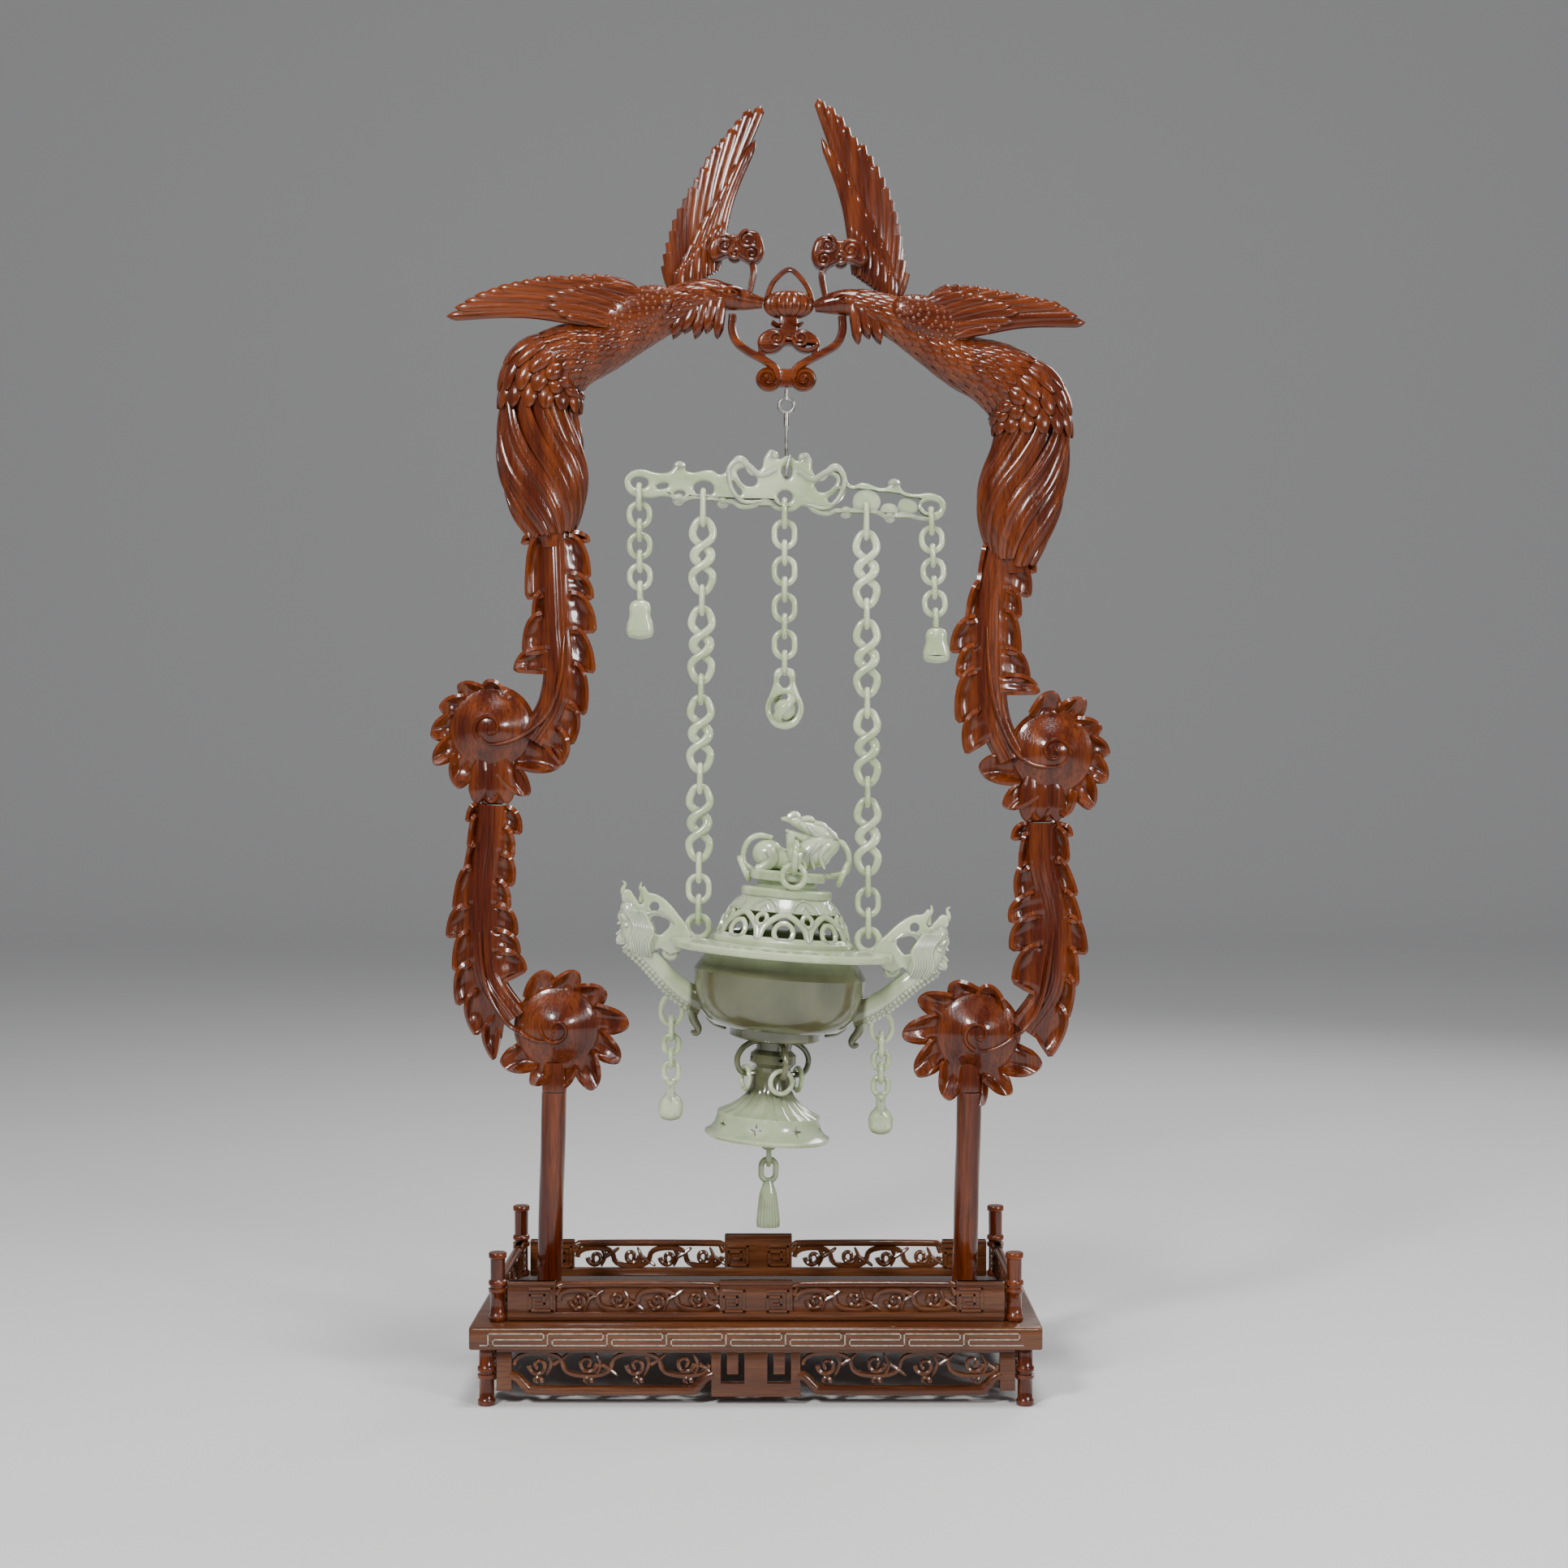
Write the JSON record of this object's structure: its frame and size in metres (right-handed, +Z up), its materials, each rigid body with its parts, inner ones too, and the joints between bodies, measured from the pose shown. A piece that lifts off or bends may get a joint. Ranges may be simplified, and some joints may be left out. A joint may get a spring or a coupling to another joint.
{
  "type": "hanging jade censer on a carved stand",
  "caption": "Carved jade censer and lid hung by jade chains from a yoke, on a dark wood stand of facing phoenixes over a railed base.",
  "frame": {"origin": "centre of the object's bounding box in plan, at the undersides of the feet", "axes": "+Z up, front faces -Y, +X to the right as seen from the front"},
  "size_m": [0.3692, 0.14, 0.694],
  "materials": {
    "jade": "polished",
    "rosewood": "gloss",
    "inlaid_rosewood": "gloss",
    "hook_wire": "satin"
  },
  "bodies": {
    "root": {"yoke": "jade", "long_chain_left": "jade", "long_chain_right": "jade", "short_chain_left": "jade", "short_chain_right": "jade", "lower_chain_left": "jade", "lower_chain_right": "jade", "centre_chain": "jade", "caged_ball": "jade", "censer_bowl": "jade", "stem_ring_right": "jade", "stem_ring_back": "jade", "stem_ring_left": "jade", "stem_ring_front": "jade", "tassel_chain": "jade", "lid": "jade", "lid_ring_left": "jade", "lid_ring_right": "jade", "lid_ring_front": "jade", "lid_ring_back": "jade", "foot_front_left": "rosewood", "foot_front_right": "rosewood", "foot_back_left": "rosewood", "foot_back_right": "rosewood", "rail_post_front_left": "rosewood", "rail_post_front_right": "rosewood", "rail_post_back_left": "rosewood", "rail_post_back_right": "rosewood", "apron_front": "rosewood", "apron_back": "rosewood", "apron_left": "rosewood", "apron_right": "rosewood", "gallery_front": "rosewood", "gallery_back": "rosewood", "gallery_left": "rosewood", "gallery_right": "rosewood", "post_left": "rosewood", "post_right": "rosewood", "lower_plume_left": "rosewood", "lower_plume_right": "rosewood", "phoenix_left": "rosewood", "phoenix_right": "rosewood", "centre_ornament": "rosewood", "top_board": "inlaid_rosewood", "hook": "hook_wire"}
  },
  "joints": []
}
